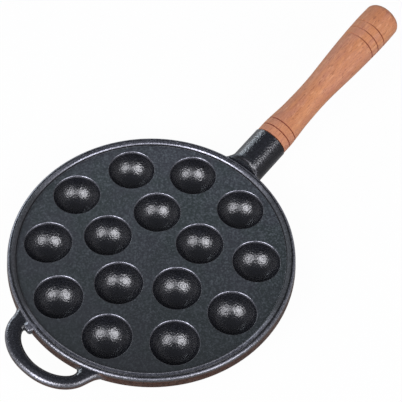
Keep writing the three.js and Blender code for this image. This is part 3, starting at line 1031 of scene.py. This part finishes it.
def mix_colours(tree, share, first, second):
    """The first colour, or the second as the share rises to 1."""
    return add(tree, "ShaderNodeMix", {0: share, 6: first, 7: second}, data_type="RGBA").outputs[2]


def mix_tones(tree, share, tones):
    """A colour between a pair of tones."""
    return mix_colours(tree, share, colour(*tones[0]), colour(*tones[1]))


def calculate(tree, operation, first, second=0.0, third=0.0):
    """One step of arithmetic on up to three numbers."""
    return add(tree, "ShaderNodeMath", {0: first, 1: second, 2: third}, operation=operation).outputs[0]


def distance_along(tree, place, direction):
    """How far places lie along a direction."""
    made = add(tree, "ShaderNodeVectorMath", {0: place, 1: direction}, operation="DOT_PRODUCT")
    return made.outputs["Value"]


def between(tree, value, low, high):
    """How far a number has gone from low to high, kept between 0 and 1."""
    return add(tree, "ShaderNodeMapRange", {"Value": value, "From Min": low, "From Max": high}).outputs[0]


def noise(tree, place, scale, detail, roughness):
    """Noise from 0 to 1 with features of about 1 / scale metres."""
    inputs = {"Vector": place, "Scale": scale, "Detail": detail, "Roughness": roughness}
    return add(tree, "ShaderNodeTexNoise", inputs).outputs[0]


def relief(tree, height, depth):
    """Normals bent by a height map whose highest points stand as far out as its depth."""
    return add(tree, "ShaderNodeBump", {"Height": height, "Distance": depth, "Strength": 1.0}).outputs[0]


def marked(tree, name):
    """A number stored on the vertices by mark."""
    return add(tree, "ShaderNodeAttribute", attribute_name=name).outputs["Fac"]


def surface(name):
    """A new material, its node tree, its Principled shader and places in the row's frame."""
    material = bpy.data.materials.new(name)
    material.use_nodes = True
    tree = material.node_tree
    return material, tree, tree.nodes["Principled BSDF"], add(tree, "ShaderNodeTexCoord").outputs["Object"]


# Finishes


def plate_colour(tree, place, grain):
    """The grey plate with its bright grains, under painted shade that darkens it away from the socket."""
    patches = between(tree, noise(tree, place, *IRON_PATCHES), *PATCH_SPAN)
    plate = mix_tones(tree, patches, PLATE_TONES)
    grains = between(tree, grain, *PLATE_GRAIN_SPAN)
    plate = mix_colours(tree, grains, plate, colour(*PLATE_GRAIN_TONE))
    # Painted shade: full on the side away from the socket, fading out towards it
    across = distance_along(tree, place, PLATE_LIGHTER_DIRECTION)
    middle = PAN_X * PLATE_LIGHTER_DIRECTION[0]
    lighter_side = between(tree, across, middle - PAN_RADIUS, middle + PAN_RADIUS)
    plate_shade = calculate(tree, "MULTIPLY_ADD", lighter_side, -PLATE_SHADE_SHARE, PLATE_SHADE_SHARE)
    return mix_colours(tree, plate_shade, plate, colour(*PLATE_SHADE_TONE))


def rust_colour(tree, place, grain):
    """Brown rust with darker grains."""
    stains = between(tree, noise(tree, place, *IRON_STAINS), *STAIN_SPAN)
    rust = mix_tones(tree, stains, RUST_TONES)
    return mix_colours(tree, between(tree, grain, *RUST_GRAIN_SPAN), rust, colour(*RUST_GRAIN_TONE))


def iron_colour(tree, place, marks):
    """Speckled black iron, with the other finishes, painted shade and painted highlights laid over it where
    they are marked.
    """
    grain = noise(tree, place, *IRON_GRAIN)
    speckle = between(tree, grain, *SPECKLE_SPAN)
    black = mix_tones(tree, speckle, BLACK_TONES)
    layers = {
        "matt": plate_colour(tree, place, grain),
        "shade_and_dark_tone": mix_tones(tree, speckle, SHADE_AND_DARK_TONES),
        "wall": rust_colour(tree, place, grain),
        "cavity": black,
        "edge": mix_tones(tree, speckle, BARE_METAL_AND_HIGHLIGHT_TONES),
    }
    tinted = black
    for name, layer in layers.items():
        tinted = mix_colours(tree, marks[name], tinted, layer)
    return tinted


def iron_metal(tree, marks):
    """How metallic the iron is: rust, painted shade, the loop's darker tone and edges with wear and painted
    highlights shine as metal; the oily rest doesn't.
    """
    shade_and_dark_tone = calculate(tree, "MULTIPLY", marks["shade_and_dark_tone"], SHADE_AND_DARK_TONE_METAL)
    metal = calculate(tree, "MAXIMUM", marks["wall"], shade_and_dark_tone)
    metal = calculate(tree, "MAXIMUM", metal, marks["edge"])
    return calculate(tree, "MULTIPLY", metal, IRON_METAL)


def iron_roughness(tree, marks, fine):
    """Glossy iron, rougher on the plate, in rust, in the glossy parts' pits and along the dull crest."""
    glossy = calculate(tree, "SUBTRACT", 1.0, marks["matt"])
    pits = calculate(tree, "MULTIPLY", between(tree, fine, *PIT_SPAN), glossy)
    rough = calculate(tree, "MULTIPLY_ADD", marks["matt"], MATT_ROUGHNESS, IRON_ROUGHNESS)
    rough = calculate(tree, "MULTIPLY_ADD", marks["wall"], WALL_ROUGHNESS, rough)
    rough = calculate(tree, "MULTIPLY_ADD", pits, PIT_ROUGHNESS, rough)
    return calculate(tree, "MULTIPLY_ADD", marks["dull"], DULL_ROUGHNESS, rough)


def iron_height(tree, place, marks, fine):
    """The iron's coarse and fine bumps, with the coarse ones smoothed on the plate and on edges with wear and
    painted highlights.
    """
    coarse = noise(tree, place, *IRON_COARSE)
    smooth = calculate(tree, "MAXIMUM", marks["matt"], marks["edge"])
    strength = calculate(tree, "MULTIPLY_ADD", smooth, -SMOOTHED_RELIEF, 1.0)
    height = calculate(tree, "MULTIPLY", coarse, strength)
    return calculate(tree, "MULTIPLY_ADD", fine, FINE_RELIEF, height)


def iron():
    """Oiled cast iron: matt plate under painted shade, black glossy cavities, rusty wall, painted shade on
    steep and turned-away parts, and edges with wear down to bare metal and painted highlights.
    """
    material, tree, shader, place = surface("oiled_cast_iron")
    marks = {name: marked(tree, name) for name in FINISH_MARKS}
    fine = noise(tree, place, *IRON_FINE)
    wire(tree, shader, {
        "Base Color": iron_colour(tree, place, marks),
        "Metallic": iron_metal(tree, marks),
        "Roughness": iron_roughness(tree, marks, fine),
        "IOR": IRON_IOR,
        "Normal": relief(tree, iron_height(tree, place, marks, fine), IRON_RELIEF_DEPTH),
    })
    return material


def wood():
    """Oiled beech, turned, with pinkish patches, short darker flecks along the grain, burnt grooves, painted
    shade along one side and a painted shadow at the joint by the socket.
    """
    material, tree, shader, place = surface("turned_beech")
    turn = add(tree, "ShaderNodeMapping", {"Vector": place, "Rotation": (0, HANDLE_TILT, 0)}).outputs[0]
    grains = {}
    for shape in (LONG_GRAIN, SHORT_GRAIN):
        grains[shape] = add(tree, "ShaderNodeMapping", {"Vector": turn, "Scale": shape}).outputs[0]
    figure = between(tree, noise(tree, grains[LONG_GRAIN], *WOOD_FIGURE), *FIGURE_SPAN)
    tone = mix_tones(tree, figure, WOOD_TONES)
    shares = {}
    for name, layer in WOOD_LAYERS.items():
        shares[name] = between(tree, noise(tree, grains[layer.grain], *layer.noise), *layer.span)
        share = calculate(tree, "MULTIPLY", shares[name], layer.strength)
        tone = mix_colours(tree, share, tone, colour(*layer.tone))
    # Painted shade: the wood darkens towards its +Y side
    shaded_side = between(tree, distance_along(tree, place, SIDEWAYS), *SHADED_SIDE_SPAN)
    shaded_side = calculate(tree, "MULTIPLY", shaded_side, SHADED_SIDE_SHARE)
    tone = mix_colours(tree, shaded_side, tone, colour(*SHADED_SIDE_TONE))
    wire(tree, shader, {
        "Base Color": mix_colours(tree, marked(tree, "burn_and_joint_shadow"), tone, colour(*BURN_AND_SHADOW_TONE)),
        "Roughness": WOOD_ROUGHNESS,
        "Specular IOR Level": WOOD_SPECULAR,
        "Normal": relief(tree, shares["fibre"], WOOD_RELIEF_DEPTH),
    })
    return material


def zinc():
    """Zinc-plated steel with a slight blue-white mottle."""
    material, tree, shader, place = surface("zinc_plated_steel")
    mottle = noise(tree, place, *ZINC_MOTTLE)
    wire(tree, shader, {
        "Base Color": mix_tones(tree, mottle, ZINC_TONES),
        "Metallic": 1.0,
        "Roughness": calculate(tree, "MULTIPLY_ADD", mottle, ZINC_MOTTLE_ROUGHNESS, ZINC_ROUGHNESS),
        "Normal": relief(tree, noise(tree, place, *ZINC_RELIEF), ZINC_RELIEF_DEPTH),
    })
    return material


def dress(obj, node, material):
    """Makes a piece stand for a CAD node, on its body, with a finish."""
    obj.data.materials.clear()
    obj.data.materials.append(material)
    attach(obj, BODY)
    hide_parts(node)


# Stage, light and camera


def floor():
    """A wide floor that shows white to the camera, glows a little in reflections and holds a soft shadow."""
    far = FLOOR_REACH
    corners = [(-far, -far, 0), (far, -far, 0), (far, far, 0), (-far, far, 0)]
    plane = mesh_object("floor", corners, [[0, 1, 2, 3]])
    material = bpy.data.materials.new("pale_floor")
    material.use_nodes = True
    tree = material.node_tree
    tree.nodes.clear()
    path = add(tree, "ShaderNodeLightPath").outputs
    mirrored = calculate(tree, "MAXIMUM", path["Is Glossy Ray"], path["Is Transmission Ray"])
    seen = calculate(tree, "MULTIPLY_ADD", mirrored, FLOOR_MIRRORED_SHARE, path["Is Camera Ray"])
    share = calculate(tree, "MULTIPLY", seen, FLOOR_GLOW_SHARE)
    matt = add(tree, "ShaderNodeBsdfDiffuse", {"Color": FLOOR_GREY}).outputs[0]
    white = add(tree, "ShaderNodeEmission", {"Color": WHITE, "Strength": FLOOR_GLOW}).outputs[0]
    mixed = add(tree, "ShaderNodeMixShader", {0: share, 1: matt, 2: white}).outputs[0]
    add(tree, "ShaderNodeOutputMaterial", {"Surface": mixed})
    plane.data.materials.append(material)


def world():
    """White low down all round, fading to a darker sky overhead."""
    made = bpy.data.worlds.new("studio")
    bpy.context.scene.world = made
    made.use_nodes = True
    tree = made.node_tree
    tree.nodes.clear()
    direction = add(tree, "ShaderNodeTexCoord").outputs["Generated"]
    height = add(tree, "ShaderNodeSeparateXYZ", {0: direction}).outputs["Z"]
    sky = mix_colours(tree, between(tree, height, *SKY_SPAN), WHITE, SKY_GREY)
    background = add(tree, "ShaderNodeBackground", {"Color": sky, "Strength": 1.0}).outputs[0]
    add(tree, "ShaderNodeOutputWorld", {"Surface": background})


def softbox(name, azimuth, elevation, size, power, tint):
    """An oval area lamp that faces the pan, at angles in degrees seen from the pan's middle."""
    lamp = bpy.data.lights.new(name, "AREA")
    lamp.shape = "ELLIPSE"
    lamp.size, lamp.size_y = size
    lamp.energy = power
    lamp.color = tint
    obj = bpy.data.objects.new(name, lamp)
    bpy.context.scene.collection.objects.link(obj)
    a = math.radians(azimuth)
    e = math.radians(elevation)
    away = Vector((math.cos(a) * math.cos(e), math.sin(a) * math.cos(e), math.sin(e)))
    obj.location = PAN_ORIGIN + away * LAMP_DISTANCE
    obj.rotation_mode = "QUATERNION"
    obj.rotation_quaternion = away.to_track_quat("Z", "Y")


def camera():
    """The photograph's viewpoint."""
    lens = bpy.data.cameras.new("camera")
    lens.sensor_width = CAMERA_SENSOR
    lens.lens = CAMERA_LENS
    obj = bpy.data.objects.new("camera", lens)
    bpy.context.scene.collection.objects.link(obj)
    obj.location = CAMERA_PLACE
    obj.rotation_mode = "QUATERNION"
    aim = (CAMERA_AIM - CAMERA_PLACE).to_track_quat("-Z", "Y")
    obj.rotation_quaternion = aim @ Quaternion((0, 0, 1), CAMERA_ROLL)
    bpy.context.scene.camera = obj


pan = casting()
shade(pan, SHARP_EDGE)
mark_casting(pan)
dress(pan, "cast_pan", iron())

handle = wooden_handle()
shade(handle, SHARP_EDGE)
mark_burns_and_joint_shadow(handle)
dress(handle, "wooden_handle", wood())

zinc_finish = zinc()
bolt = handle_bolt()
shade(bolt, BOLT_SHARP_EDGE)
dress(bolt, "handle_bolt", zinc_finish)
washer = bolt_washer()
shade(washer, SHARP_EDGE)
dress(washer, "bolt_washer", zinc_finish)

floor()
world()
for lamp in LAMPS:
    softbox(*lamp)
camera()

bpy.context.scene.view_settings.view_transform = "Standard"
